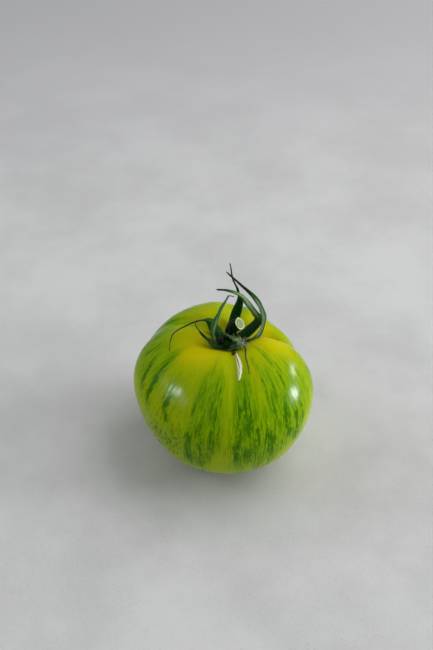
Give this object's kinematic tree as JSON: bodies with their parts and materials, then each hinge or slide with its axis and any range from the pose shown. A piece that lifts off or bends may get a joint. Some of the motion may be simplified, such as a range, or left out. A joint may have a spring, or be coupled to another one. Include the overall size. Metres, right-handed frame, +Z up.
{
  "type": "striped tomato",
  "caption": "Whole ripe tomato, squat and lobed, yellow-green with dark green stripes, with its cut stem stub and curled sepals; it rests on its blossom end.",
  "frame": {"origin": "middle of the bounding box's bottom face, on the surface that the fruit rests on", "axes": "+Z up through the stem end, -Y is the front"},
  "size_m": [0.067, 0.0672, 0.0784],
  "materials": {
    "skin": "smooth glossy skin, yellow-green with dark green broken stripes",
    "calyx": "matt dark green plant tissue",
    "stem": "matt green with a pale cut end",
    "sepal": "matt green leaf with fine pale hairs",
    "dry_sepal": "matt green drying to brown at the tip"
  },
  "bodies": {
    "root": {"fruit": "skin", "calyx_hub": "calyx", "stem": "stem", "sepal_back": "sepal", "sepal_right_inner": "sepal", "sepal_right_outer": "sepal", "sepal_left_tall": "sepal", "sepal_left_thread": "dry_sepal", "sepal_front_left": "sepal", "sepal_front_dry": "dry_sepal", "sepal_crossing": "sepal"}
  },
  "joints": []
}
